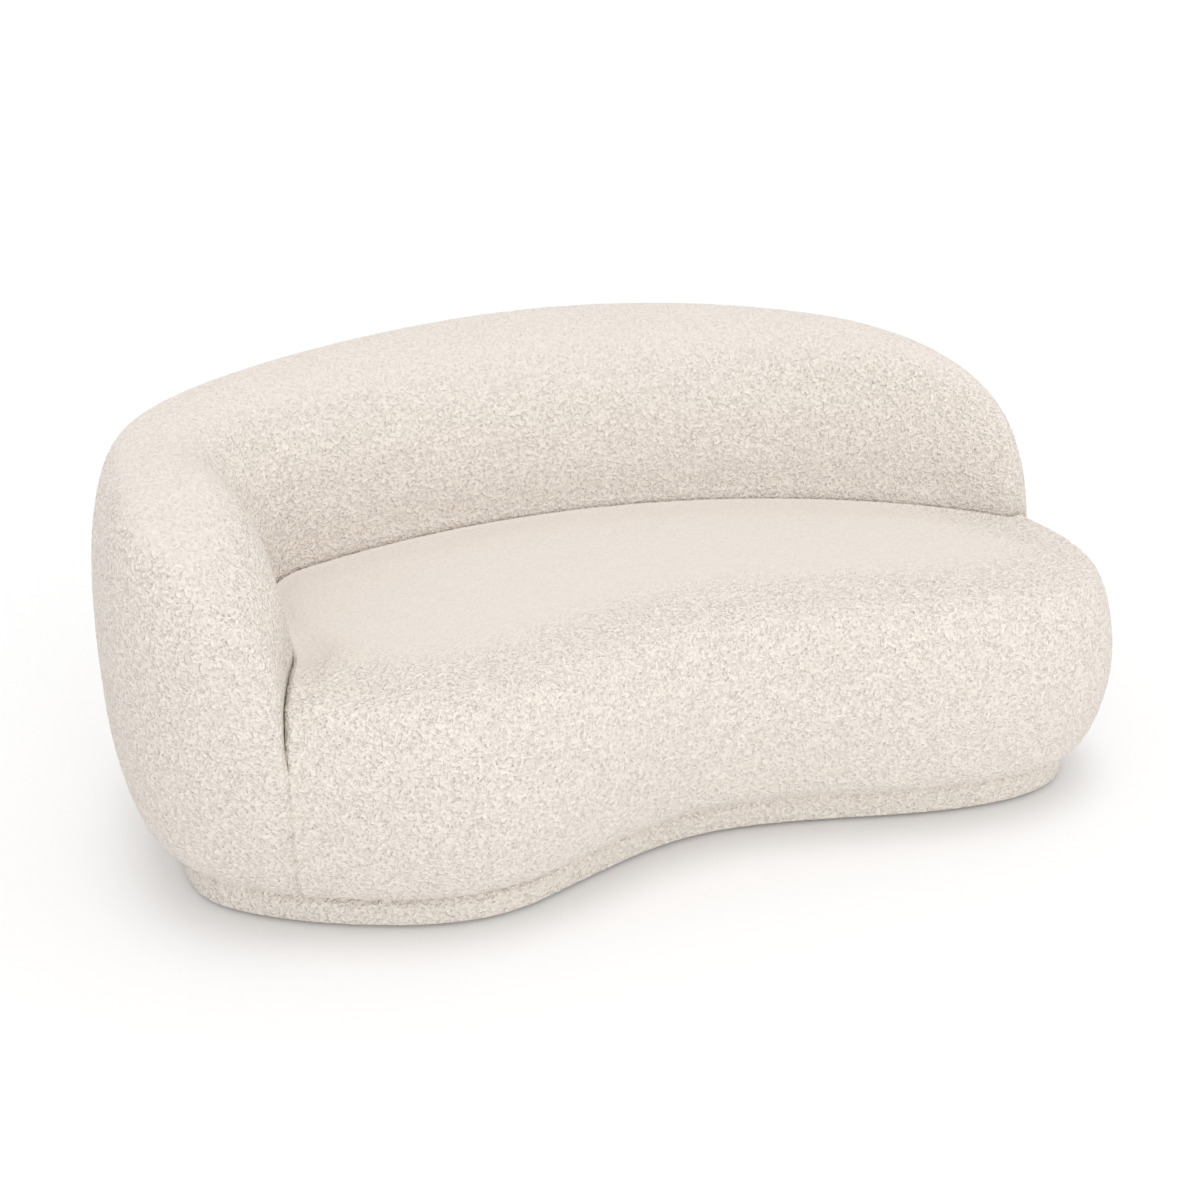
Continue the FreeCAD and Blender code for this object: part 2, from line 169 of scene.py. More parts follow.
def quarter(angle, power):
    """A quarter superellipse of unit size, at angles in degrees."""
    turn = np.radians(angle)
    return np.clip(np.cos(turn), 0, 1) ** (2 / power), np.clip(np.sin(turn), 0, 1) ** (2 / power)


# ---------------------------------------------------------------- the two plan curves
def closed_spline(poles):
    """Points of a closed cubic B-spline, which its poles draw but don't lie on."""
    t = np.arange(SPLINE_STEPS)[:, None] / SPLINE_STEPS
    basis = [(1 - t) ** 3 / 6, (3 * t ** 3 - 6 * t ** 2 + 4) / 6,
             (-3 * t ** 3 + 3 * t ** 2 + 3 * t + 1) / 6, t ** 3 / 6]
    corners = np.array(poles, float)
    return np.concatenate([sum(part * np.roll(corners, -index, axis=0)[start]
                               for index, part in enumerate(basis))
                           for start in range(len(poles))])


outline = closed_spline(OUTLINE_POLES)
outline = np.roll(outline, -np.argmin(np.linalg.norm(outline - TIP_NEAR, axis=1)), axis=0)
gaps = np.linalg.norm(np.roll(outline, -1, axis=0) - outline, axis=1)
outline_distance = np.concatenate([[0], np.cumsum(gaps)])
OUTLINE_LENGTH = outline_distance[-1]
outline_ring = np.vstack([outline, outline[:1]])
along = np.roll(outline, -1, axis=0) - np.roll(outline, 1, axis=0)
along /= np.linalg.norm(along, axis=1)[:, None]
normals = np.stack([along[:, 1], -along[:, 0]], axis=1)
normal_ring = np.vstack([normals, normals[:1]])


def on_outline(distance):
    """Points and outward normals this far round the outline from the right tip."""
    distance = np.asarray(distance, float) % OUTLINE_LENGTH
    spots = [np.interp(distance, outline_distance, outline_ring[:, axis]) for axis in (0, 1)]
    ways = [np.interp(distance, outline_distance, normal_ring[:, axis]) for axis in (0, 1)]
    return np.stack(spots, axis=-1), np.stack(ways, axis=-1)


class Crease:
    """The line at the foot of the backrest; distances start at the right tip."""

    def __init__(self):
        seam, seam_normal = on_outline(BAND_LENGTH)
        lean = np.array([-seam_normal[1], seam_normal[0]]) * SEAM_LEAN
        self.kink = seam - seam_normal * SEAM_THICKNESS - lean
        self.run_way = (CREASE_CORNER - self.kink) / np.linalg.norm(CREASE_CORNER - self.kink)
        right = np.array([self.run_way[1], -self.run_way[0]])
        start = self.kink + right * CORNER_RADIUS
        self.run = self.reach(start, self.run_way, CREASE_RADIUS - CORNER_RADIUS)
        self.corner_centre = start + self.run_way * self.run
        tip, tip_normal = on_outline(0.0)
        offset = tip - CREASE_CENTRE
        inward = -offset @ tip_normal
        depth = -math.sqrt(inward ** 2 - offset @ offset + CREASE_RADIUS ** 2) - inward
        tip_point = tip - tip_normal * depth - CREASE_CENTRE
        corner = self.corner_centre - CREASE_CENTRE
        self.first = math.atan2(tip_point[1], tip_point[0])
        self.last = math.atan2(corner[1], corner[0])
        self.turn = math.atan2(-right[1], -right[0]) % (2 * math.pi) - self.last
        self.long = CREASE_RADIUS * (self.last - self.first)
        self.corner_end = self.long + CORNER_RADIUS * self.turn
        self.corner_middle = (self.long + self.corner_end) / 2
        self.length = self.corner_end + self.run

    @staticmethod
    def reach(start, way, radius):
        """How far it is from a place inside a circle round the crease's centre to its edge."""
        offset = start - CREASE_CENTRE
        inward = offset @ way
        return math.sqrt(radius ** 2 - offset @ offset + inward ** 2) - inward

    def points(self, distance):
        distance = np.asarray(distance, float)
        wide = self.first + distance / CREASE_RADIUS
        tight = self.last + (distance - self.long) / CORNER_RADIUS
        arc = CREASE_CENTRE + CREASE_RADIUS * np.stack([np.cos(wide), np.sin(wide)], axis=-1)
        bend = np.stack([np.cos(tight), np.sin(tight)], axis=-1)
        corner = self.corner_centre + CORNER_RADIUS * bend
        run = self.kink + self.run_way * (self.length - distance)[:, None]
        first = (distance < self.long)[:, None]
        second = (distance < self.corner_end)[:, None]
        return np.where(first, arc, np.where(second, corner, run))


crease = Crease()


def outline_point(distance, reach):
    spot, way = on_outline(distance)
    return spot + way * reach


def longer(line, share):
    """The line with one more point straight on from its end."""
    return np.vstack([line, line[1] + (line[1] - line[0]) * share])


# The lines in plan where the two pads meet, drawn on past the outline.
crease_line = crease.points(np.linspace(0, crease.length, CREASE_STEPS))
left_seam = longer(np.array([crease.kink, outline_point(BAND_LENGTH, 0)]), 0.8)
tip_seam = longer(np.array([crease_line[0], outline_point(0.0, 0)]), 4.0)
meeting = np.vstack([left_seam[::-1], crease_line[::-1][1:], tip_seam[1:]])


# ---------------------------------------------------------------- the pads' sections
def fall(distance, length, power):
    """The round fall of the band's height towards one of its ends."""
    return (1 - np.clip(1 - distance / length, 0, 1) ** power) ** (1 / power)


def band_weights(distance):
    """How tall and how full the band is: 0 as the seat, 1 as the back where it is level."""
    tip = fall(distance, TIP_FALL, TIP_POWER)
    arm = fall(BAND_LENGTH - distance, ARM_FALL, ARM_POWER)
    return np.minimum(tip, arm)[:, None], np.minimum(tip ** TIP_LAG, arm)[:, None]


def band_grid(distance):
    """Points of the band: a row for each distance, and round each row the outside, the top,
    the inside, the hidden back of the crease and the bottom."""
    tallness, fullness = band_weights(distance)
    foot, normal = on_outline(distance)
    before = crease.corner_middle * distance / CORNER_PLACE
    rest = (distance - CORNER_PLACE) / (BAND_LENGTH - CORNER_PLACE)
    after = blend(crease.corner_middle, crease.length, rest)
    inner = np.where(distance < CORNER_PLACE, before, after)
    across = foot - crease.points(inner)
    thickness = np.linalg.norm(across, axis=1)[:, None]
    out = across / thickness
    slant = 1 / np.sum(out * normal, axis=1)[:, None]
    height = blend(SEAT_HEIGHT, BACK_HEIGHT, tallness)
    reach, widest, under, over, rim = [blend(SEAT[key], BACK[key], fullness)
                                       for key in ("reach", "widest", "under", "over", "rim")]
    rim = np.minimum(rim * slant, thickness * MOST_RIM)
    angle = np.linspace(0, 90, SECTION_STEPS)[None, :]
    x, y = quarter(90 - angle, under)
    outside = (blend(BOTTOM_REACH, reach, x) * slant, widest - (widest - PLINTH_TOP) * y)
    x, y = quarter(angle, over)
    top = (blend(-rim, reach * slant, x), blend(widest, height, y))
    arm = smooth_step(distance, ARM_STARTS, ARM_FULL)[:, None]
    x, y = quarter(angle, blend(INNER_POWER, ARM_INNER_POWER, arm))
    inside = (blend(-rim, -thickness, y), blend(SEAT_HEIGHT, height, x))
    drop = np.linspace(0, 1, SECTION_STEPS)[None, :]
    back = (-thickness + 0 * drop, blend(SEAT_HEIGHT, PLINTH_TOP, drop) + 0 * thickness)
    bottom = (blend(-thickness, BOTTOM_REACH * slant, drop), PLINTH_TOP + 0 * drop * thickness)
    parts = (outside, top, inside, back, bottom)
    reach, z = [np.concatenate([part[index][:, :-1] for part in parts], axis=1)
                for index in (0, 1)]
    plan = foot[:, None, :] + out[:, None, :] * reach[:, :, None]
    return np.concatenate([plan, z[:, :, None]], axis=2) / 1000


def seat_grid():
    """Rings of the seat's swelling form, from the bottom out, up and in over the rim."""
    angle = np.linspace(90, 0, SECTION_STEPS)
    x, y = quarter(angle, SEAT["under"])
    reach = list(blend(BOTTOM_REACH, SEAT["reach"], x))
    level = list(SEAT["widest"] - (SEAT["widest"] - PLINTH_TOP) * y)
    x, y = quarter(90 - angle[1:], SEAT["over"])
    reach += list(blend(-SEAT["rim"], SEAT["reach"], x))
    level += list(blend(SEAT["widest"], SEAT_HEIGHT, y))
    for inside, share in CROWN:
        reach.append(-SEAT["rim"] - inside)
        level.append(SEAT_HEIGHT + SEAT_CROWN * share)
    spots, ways = on_outline(np.arange(SEAT_AROUND) * OUTLINE_LENGTH / SEAT_AROUND)
    plan = spots[None] + ways[None] * np.array(reach)[:, None, None]
    z = np.array(level)[:, None, None] + np.zeros((1, SEAT_AROUND, 1))
    return np.concatenate([plan, z], axis=2) / 1000


# ---------------------------------------------------------------- making meshes
def deselect():
    if bpy.context.object and bpy.context.object.mode != "OBJECT":
        bpy.ops.object.mode_set(mode="OBJECT")
    bpy.ops.object.select_all(action="DESELECT")


def activate(piece):
    deselect()
    piece.select_set(True)
    bpy.context.view_layer.objects.active = piece


def vertex_values(piece, kind):
    flat = np.zeros(len(piece.data.vertices) * 3)
    piece.data.vertices.foreach_get(kind, flat)
    return flat.reshape(-1, 3)


def coordinates(piece):
    return vertex_values(piece, "co")


def normals_of(piece):
    return vertex_values(piece, "normal")


def place(piece, points):
    piece.data.vertices.foreach_set("co", np.asarray(points, float).ravel())
    piece.data.update()


def edit(piece, *steps):
    """Runs edit-mode steps on the whole piece."""
    activate(piece)
    bpy.ops.object.mode_set(mode="EDIT")
    bpy.ops.mesh.select_all(action="SELECT")
    for step in steps:
        step()
    bpy.ops.object.mode_set(mode="OBJECT")


def apply(piece, kind, **settings):
    activate(piece)
    modifier = piece.modifiers.new(kind.lower(), kind)
    for key, value in settings.items():
        setattr(modifier, key, value)
    bpy.ops.object.modifier_apply(modifier=modifier.name)


def select_rims():
    """Selects the open rims alone."""
    bpy.ops.mesh.select_all(action="DESELECT")
    bpy.ops.mesh.select_non_manifold(extend=False)


def tube(name, grid, ends=True):
    """A skin from rows of points that each go round once.  Its ends are filled flat, unless
    the last row is the first again or the ends stay open."""
    rows, around = grid.shape[:2]
    deselect()
    bpy.ops.mesh.primitive_grid_add(x_subdivisions=around, y_subdivisions=rows - 1, size=1)
    piece = bpy.context.object
    piece.name = piece.data.name = name
    place(piece, np.concatenate([grid, grid[:, :1]], axis=1).reshape(-1, 3))
    edit(piece, lambda: bpy.ops.mesh.remove_doubles(threshold=1e-5))
    if ends:
        edit(piece, select_rims, lambda: bpy.ops.mesh.fill_holes(sides=0))
    edit(piece, lambda: bpy.ops.mesh.normals_make_consistent(inside=False))
    return piece


def even(piece, size):
    """The same closed form in even faces."""
    piece.data.remesh_voxel_size = size
    activate(piece)
    bpy.ops.object.voxel_remesh()
    apply(piece, "SMOOTH", factor=0.5, iterations=3)


def band_distances():
    """Where the band's sections stand: close together where its height falls fast."""
    angle = np.linspace(0, 90, FALL_STEPS, endpoint=False)
    tip = TIP_FALL * (1 - quarter(angle, TIP_POWER)[0])
    arm = ARM_FALL * (1 - quarter(angle, ARM_POWER)[0])
    level = np.linspace(TIP_FALL, BAND_LENGTH - ARM_FALL, LEVEL_STEPS + 1)
    return np.concatenate([tip, level, BAND_LENGTH - arm[::-1]])


def finish_piece(piece, material, replaced):
    """Gives a piece its material and its place in the model; the fill is a padded piece's."""
    piece.data.materials.clear()
    piece.data.materials.append(material)
    piece.data.shade_smooth()
    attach(piece, "root")
    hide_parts(*replaced)


# ---------------------------------------------------------------- materials
class Sock:
    """A shader socket that can be used in sums with numbers and other sockets."""

    def __init__(self, shader, socket):
        self.shader, self.socket = shader, socket

    def maths(self, operation, first, second):
        return self.shader.node("ShaderNodeMath", {"operation": operation}, [first, second])

    def __add__(self, other):
        return self.maths("ADD", self, other)

    def __mul__(self, other):
        return self.maths("MULTIPLY", self, other)

    def __sub__(self, other):
        return self.maths("SUBTRACT", self, other)

    def __rsub__(self, other):
        return self.maths("SUBTRACT", other, self)

    def at_least(self, other):
        return self.maths("MAXIMUM", self, other)

    __radd__, __rmul__ = __add__, __mul__


class Shader:
    """A material whose nodes are made by one method."""

    def __init__(self, name):
        self.material = bpy.data.materials.new(name)
        self.material.use_nodes = True
        self.tree = self.material.node_tree
        self.skin = self.tree.nodes["Principled BSDF"]
        self.place = self.node("ShaderNodeTexCoord", output="Object")

    def node(self, kind, settings=None, inputs=(), output=0):
        """A node of this type, its settings, its sockets' values or links, and the output."""
        made = self.tree.nodes.new(kind)
        for key, value in (settings or {}).items():
            setattr(made, key, value)
        pairs = inputs.items() if isinstance(inputs, dict) else enumerate(inputs)
        for key, value in pairs:
            self.feed(made.inputs[key], value)
        return Sock(self, made.outputs[output])

    def feed(self, socket, value):
        if isinstance(value, Sock):
            self.tree.links.new(value.socket, socket)
        elif hasattr(value, "__len__") and len(value) == 3 and socket.type == "RGBA":
            socket.default_value = (*value, 1.0)
        else:
            socket.default_value = value

    def noise(self, place, scale, detail=2.0, roughness=0.5, distortion=0.0):
        return self.node("ShaderNodeTexNoise", {}, {
            "Vector": place, "Scale": scale, "Detail": detail, "Roughness": roughness,
            "Distortion": distortion})

    def mix(self, factor, first, second):
        return self.node("ShaderNodeMix", {"data_type": "RGBA"},
                         {0: factor, 6: first, 7: second}, output=2)

    def bump(self, height, strength, distance):
        return self.node("ShaderNodeBump", {},
                         {"Height": height, "Strength": strength, "Distance": distance})

    def surface(self, **values):
        """The finished material; Base_Color stands for the socket Base Color, and so on."""
        for key, value in values.items():
            self.feed(self.skin.inputs[key.replace("_", " ")], value)
        return self.material


def curly_fabric():
    """Cream curly fabric: short thick loops of yarn with small pits between them, worn smoother
    where it is sat on.
    Its colour is painted: painted shade in the pits and low places, a painted highlight on the
    loops' tops."""
    shader = Shader("boucle_fabric")
    yarn = shader.noise(shader.place, 150.0, 1.0, 0.45, 0.4)
    cells = shader.node("ShaderNodeTexVoronoi", {}, {"Vector": shader.place, "Scale": 165.0})
    pits = (0.26 - cells).at_least(0.0)
    worn_and_shaded = shader.node("ShaderNodeAttribute", {"attribute_name": "worn_and_shaded"}, output=2)
    height = (yarn - 0.5) * 2.0 + 0.53 - pits * 1.6
    raised = height * (1 - worn_and_shaded * 0.8)
    # The colour runs from the shade colour in the pits up to full cream on the curls' tops: painted
    # shade and a painted highlight.
    level = (height - 0.5) * (0.8 - worn_and_shaded * 0.6) + 0.75
    patches = shader.noise(shader.place, 5.0)
    cream = shader.mix(patches, (0.852, 0.783, 0.715), (0.832, 0.763, 0.695))
    # The worn top's cream is darker than the pile's: painted shade on the flat, light-facing top,
    # evening it with the pile's own shade.
    shaded_smooth_cream = shader.mix(patches, (0.772, 0.714, 0.661), (0.754, 0.697, 0.645))
    shade = (0.60, 0.54, 0.48)
    colour = shader.mix(level, shade, shader.mix(worn_and_shaded, cream, shaded_smooth_cream))
    normal = shader.bump(raised, 1.0, 0.0045)
    return shader.surface(Base_Color=colour, Roughness=0.95, Normal=normal, Sheen_Weight=0.1,
                          Sheen_Roughness=0.6)


def plain(name, light, dark, scale, roughness, stretch=(1, 1, 1)):
    """A simple grained surface, its pattern packed closer along some axes."""
    shader = Shader(name)
    stretched = shader.node("ShaderNodeMapping", {}, {"Vector": shader.place, "Scale": stretch})
    grain = shader.noise(stretched, scale, 4.0, 0.6)
    return shader.surface(Base_Color=shader.mix(grain, dark, light), Roughness=roughness,
                          Normal=shader.bump(grain, 0.5, 0.0004))


boucle = curly_fabric()
finishes = [
    ("upholstery_foam", (0.82, 0.74, 0.46), (0.70, 0.61, 0.34), 300.0, 0.9),
    ("soft_foam", (0.88, 0.86, 0.82), (0.76, 0.74, 0.70), 260.0, 0.9),
    ("plywood", (0.68, 0.50, 0.31), (0.50, 0.34, 0.19), 14.0, 0.55, (1, 1, 12)),
    ("bent_plywood", (0.70, 0.54, 0.36), (0.55, 0.39, 0.23), 12.0, 0.5, (1, 1, 14)),
    ("softwood", (0.72, 0.54, 0.33), (0.55, 0.37, 0.20), 20.0, 0.6, (1, 8, 1)),
    ("hardboard", (0.30, 0.19, 0.11), (0.20, 0.12, 0.07), 120.0, 0.6),
    ("elastic_webbing", (0.20, 0.20, 0.21), (0.10, 0.10, 0.11), 500.0, 0.8),
    ("dust_cloth", (0.05, 0.05, 0.05), (0.02, 0.02, 0.02), 600.0, 0.9),
    ("glide_plastic", (0.05, 0.05, 0.05), (0.03, 0.03, 0.03), 150.0, 0.4),
]
materials = {finish[0]: plain(*finish) for finish in finishes}


# ---------------------------------------------------------------- soft pads
def swell(piece):
    """Draws the pad in a little, then lets air pressure stretch its cloth out again."""
    place(piece, coordinates(piece) - normals_of(piece) * SWELL / 1000)
    before = coordinates(piece)
    activate(piece)
    cloth = piece.modifiers.new("cloth", "CLOTH")
    cloth.settings.use_pressure = True
    cloth.settings.uniform_pressure_force = 4.0
    cloth.settings.effector_weights.gravity = 0.0
    cloth.point_cache.frame_end = CLOTH_STEPS
    for moment in range(1, CLOTH_STEPS + 1):
        bpy.context.scene.frame_set(moment)
    bpy.ops.object.modifier_apply(modifier=cloth.name)
    bpy.context.scene.frame_set(1)
    move = coordinates(piece) - before
    length = np.linalg.norm(move, axis=1)[:, None]
    place(piece, before + move * np.minimum(1, MOST_SWELL / 1000 / np.maximum(length, 1e-9)))


def wall_distance(points, line):
    """Distances in plan, in millimetres, from points to a line of plan points."""
    spots = points[:, :2] * 1000
    nearest = np.full(len(spots), 1e9)
    for start, end in zip(line[:-1], line[1:]):
        way = end - start
        share = np.clip((spots - start) @ way / (way @ way), 0, 1)
        gap = np.linalg.norm(spots - start - share[:, None] * way, axis=1)
        nearest = np.minimum(nearest, gap)
    return nearest


def nearest_on(tree, points):
    """The nearest places on a form and the outward normals there."""
    found = [tree.find_nearest(point) for point in points]
    return np.array([hit[0] for hit in found]), np.array([hit[1] for hit in found])


def bump_at(points, centre, size):
    """1 at a place and fading to nothing away from it."""
    offset = (points * 1000 - np.array(centre)) / size
    return np.exp(-np.sum(offset ** 2, axis=1))


def shape_corner(piece):
    """By the seam's top a seat's piece sinks and a backrest's swells out over it."""
    points = coordinates(piece)
    if piece.name.startswith("seat"):
        spot = np.array([*(crease.kink + DIP_PLACE), SEAT_HEIGHT])
        top = smooth_step(points[:, 2], DIP_STARTS, DIP_FULL) * (points[:, 2] < DIP_ENDS)
        points[:, 2] -= DIP_DEPTH * top * bump_at(points, spot, DIP_SIZE)
    else:
        spot = np.array([*(crease.kink + BULGE_PLACE), SEAT_HEIGHT + BULGE_RISE])
        inner = np.array([*crease.kink, 0]) - np.array([*CREASE_CORNER, 0])
        right = np.array([-inner[1], inner[0], 0]) / np.linalg.norm(inner)
        points += bump_at(points, spot, BULGE_SIZE)[:, None] * right * BULGE_DEPTH
    place(piece, points)


def on_lobe(distance):
    """1 round the left front lobe of the outline and 0 away from it."""
    return np.exp(-((distance - LOBE_PLACE) / LOBE_REACH) ** 4)


def nearest_outline(points):
    """The outline's outward normals nearest to points, in plan, and the distances round it."""
    distance = np.arange(NEAREST_STEPS) * OUTLINE_LENGTH / NEAREST_STEPS
    spots, ways = on_outline(distance)
    gaps = np.linalg.norm(points[:, None, :2] * 1000 - spots[None], axis=2)
    nearest = np.argmin(gaps, axis=1)
    return ways[nearest], distance[nearest]


def tuck_under(points):
    """Draws the pad's foot in a little over the plinth."""
    low = points[:, 2] < TUCK_TOP
    foot = points[low]
    ways, distance = nearest_outline(foot)
    depth = FOOT_TUCK * (1 - LOBE_EASE * on_lobe(distance))
    share = smooth_step(foot[:, 2], FOOT_STARTS, FOOT_FULL)
    end = smooth_step(-foot[:, 0], END_FROM, END_TO) * (1 - on_lobe(distance))
    end_share = smooth_step(foot[:, 2], END_STARTS, END_FULL)
    drawn = depth * share + (END_TUCK - FOOT_TUCK) * end * end_share
    drawn *= wall_distance(foot, crease_line) > TUCK_KEEP
    foot[:, :2] -= ways * (drawn / 1000)[:, None]
    points[low] = foot
    return points


def seam_distance(points):
    return np.minimum(wall_distance(points, left_seam), wall_distance(points, tip_seam))


def seam_way(points):
    """The level way from the backrest to the seat, across the nearer of the two seams."""
    ways = []
    for line, turn in ((left_seam, 1), (tip_seam, -1)):
        run = (line[-1] - line[0]) / np.linalg.norm(line[-1] - line[0])
        ways.append(np.array([-run[1] * turn, run[0] * turn, 0]))
    left = wall_distance(points, left_seam) < wall_distance(points, tip_seam)
    return np.where(left[:, None], ways[0], ways[1])


def close_seam(points, side):
    """Below the open seams the two pads' edges run a little way under each other, so that the
    fabric looks whole there."""
    gap = seam_distance(points)
    edge = np.nonzero((gap < LAP_REACH) & (points[:, 2] > OVER_PLINTH))[0]
    gap, spots = gap[edge], points[edge]
    low = 1 - smooth_step(spots[:, 2], SEAM_CLOSES, SEAM_OPENS)
    low *= wall_distance(spots, crease_line) > CREASE_KEEP
    across = LAP * (1 - gap / LAP_REACH)
    sunk = LAP_SINK * np.maximum(across - gap + LAP_SPARE, 0) ** 2
    ways = nearest_outline(spots)[0]
    spots += (across * low * side / 1000)[:, None] * seam_way(spots)
    spots[:, :2] -= ways * (sunk * low / 1000)[:, None]
    points[edge] = spots
    return points


def pad(piece, side):
    """Turns a crisp closed form into an upholstered pad: even faces, swollen cloth held near
    the form, then fine faces and seams.  The side is 1 for the backrest and -1 for the seat."""
    piece.data.calc_loop_triangles()
    tree = BVHTree.FromPolygons([vertex.co for vertex in piece.data.vertices],
                                [tuple(face.vertices) for face in piece.data.loop_triangles])
    even(piece, COVER_FACE)
    swell(piece)
    points = coordinates(piece)
    spots, ways = nearest_on(tree, points)
    height = np.sum((points - spots) * ways, axis=1)
    free = wall_distance(points, meeting) > ROUND
    held = np.where(free, np.clip(height, LEAST_OUT, MOST_OUT), np.minimum(height, 0.0))
    place(piece, tuck_under(points + ways * (held - height)[:, None]))
    apply(piece, "SUBSURF", levels=2, render_levels=2)
    points = coordinates(piece)
    gap = wall_distance(points, meeting)
    near = np.nonzero((gap < EDGE_BAND) & (points[:, 2] > OVER_PLINTH))[0]
    spots, ways = nearest_on(tree, points[near])
    gap = gap[near]
    opening = np.where(seam_distance(spots) < ON_SEAM,
                       smooth_step(spots[:, 2], SEAM_CLOSES, SEAM_OPENS), 1.0)
    groove = GROOVE * np.exp(-(gap / GROOVE_WIDTH) ** GROOVE_POWER)
    sunk = np.where(wall_distance(spots, meeting) < ON_WALL, WALL_GAP, groove) * opening / 1000
    crisp = smooth_step(gap, EDGE_BAND, EDGE_CRISP)[:, None]
    points[near] = blend(points[near], tuck_under(spots - ways * sunk[:, None]), crisp)
    place(piece, close_seam(points, side))
    return piece


def soft_filling(node):
    """The foam inside a cover, as a soft block a little smaller than its plain solid."""
    piece = frame["nodes"][node].copy()
    piece.data = piece.data.copy()
    bpy.context.collection.objects.link(piece)
    piece.name = piece.data.name = node + "_soft"
    piece.hide_render = False
    piece.hide_set(False)
    edit(piece, lambda: bpy.ops.mesh.remove_doubles(threshold=1e-5))
    even(piece, FOAM_FACE)
    place(piece, tuck_under(coordinates(piece) - normals_of(piece) * FOAM_SHRINK / 1000))
    shape_corner(piece)
    finish_piece(piece, materials[slots[node]], [node])


def relief(name, kind, size):
    texture = bpy.data.textures.new(name, kind)
    texture.noise_scale = size
    return texture


tufts = relief("tufts", "CLOUDS", TUFT_SIZE)
tufts.noise_depth = 1
curls = relief("curls", "VORONOI", CURL_SIZE)


def wear_and_shade(piece, points, ways):
    """How worn the fabric is, and how much painted shade darkens it, from 0 to 1: the seat's
    middle, and less the backrest's top.
    """
    if not piece.name.startswith("seat"):
        level = smooth_step(ways[:, 2], *BACK_WORN_AND_SHADED)
        return BACK_WEAR_AND_SHADE * level * (points[:, 2] > BACK_OVER)
    seat_wear_and_shade = np.zeros(len(points))
    top = np.nonzero((points[:, 2] > SEAT_TOP) & (ways[:, 2] > 0.5))[0]
    seat_wear_and_shade[top] = smooth_step(wall_distance(points[top], outline_ring[::WEAR_AND_SHADE_STEP]), *SEAT_WORN_AND_SHADED)
    return seat_wear_and_shade


def raise_pile(piece, worn_share):
    """Raises the fabric's curls, less where it is worn and not at all where it is hidden."""
    points, ways = coordinates(piece), normals_of(piece)
    closed = 1 - smooth_step(points[:, 2], SEAM_CLOSES, SEAM_OPENS)
    closed *= wall_distance(points, crease_line) > LAP_KEEP
    open_side = smooth_step(wall_distance(points, meeting), *WALL_FADE)
    shown = smooth_step(points[:, 2], *FLOOR_FADE) * np.maximum(open_side, closed)
    # This mask flattens the pile and, in the material, paints the fabric darker there: painted
    # shade.
    worn_and_shaded = wear_and_shade(piece, points, ways)
    attribute = piece.data.attributes.new("worn_and_shaded", "FLOAT", "POINT")
    attribute.data.foreach_set("value", worn_and_shaded.astype(np.float32))
    group = piece.vertex_groups.new(name="pile")
    level = np.round(shown * blend(1.0, worn_share, worn_and_shaded) * PILE_LEVELS).astype(int)
    for step in range(1, PILE_LEVELS + 1):
        group.add(np.nonzero(level == step)[0].tolist(), step / PILE_LEVELS, "REPLACE")
    for texture, depth in ((tufts, TUFT_DEPTH), (curls, CURL_DEPTH)):
        apply(piece, "DISPLACE", texture=texture, texture_coords="LOCAL", strength=depth,
              mid_level=0.5, vertex_group="pile")


# ---------------------------------------------------------------- the covers
def back_cover():
    piece = pad(tube("backrest_cover", band_grid(band_distances())), 1)
    shape_corner(piece)
    raise_pile(piece, WORN_PILE)
    finish_piece(piece, boucle, ["back_cover"])


def ground_block():
    """The ground that the backrest stands on, as a tall block, to be cut from the seat."""
    behind = [(1400, 300), (1000, 1000), (-1000, 1000), (-1400, 0)]
    plan = np.vstack([meeting, tip_seam[-1:] + (300, 100), behind,
                      left_seam[-1:] + (-300, -200)])
    rows = [np.concatenate([plan, np.full((len(plan), 1), z)], axis=1) for z in (0.0, 900.0)]
    return tube("ground", np.stack(rows) / 1000)


def seat_cover():
    piece = tube("seat_cover_soft", seat_grid())
    block = ground_block()
    apply(piece, "BOOLEAN", operation="DIFFERENCE", object=block, solver="EXACT")
    bpy.data.objects.remove(block)
    pad(piece, -1)
    shape_corner(piece)
    raise_pile(piece, WORN_PILE)
    finish_piece(piece, boucle, ["seat_cover"])


def plinth_cover():
    """The strip of fabric stretched round the plinth, its lower edge turned under the wood."""
    outside = [(PLINTH_WADDING, z) for z in np.linspace(12, 45, 12)]
    inside = [(-2.6, z) for z in (67, 60, 48, 36, 24, 12)]
    profile = outside + PLINTH_SHOULDER + inside + PLINTH_UNDER
    distance = np.arange(PLINTH_AROUND) * OUTLINE_LENGTH / PLINTH_AROUND
    spots, ways = on_outline(distance)
    flat_end = PLINTH_WADDING * np.exp(-((distance - END_PLACE) / END_REACH) ** 4)
    fuller = LOBE_WADDING * on_lobe(distance) - flat_end
    rows = []
    for reach, z in profile + profile[:1]:
        share = (reach > -2) * (0.1 + 0.9 * smooth_step(z, 62, 44))
        plan = spots + ways * (reach + fuller * share)[:, None]
        rows.append(np.concatenate([plan, np.full((len(plan), 1), z)], axis=1))
    piece = tube("plinth_cover_soft", np.stack(rows) / 1000, ends=False)
    raise_pile(piece, 1.0)
    finish_piece(piece, boucle, ["plinth_cover"])


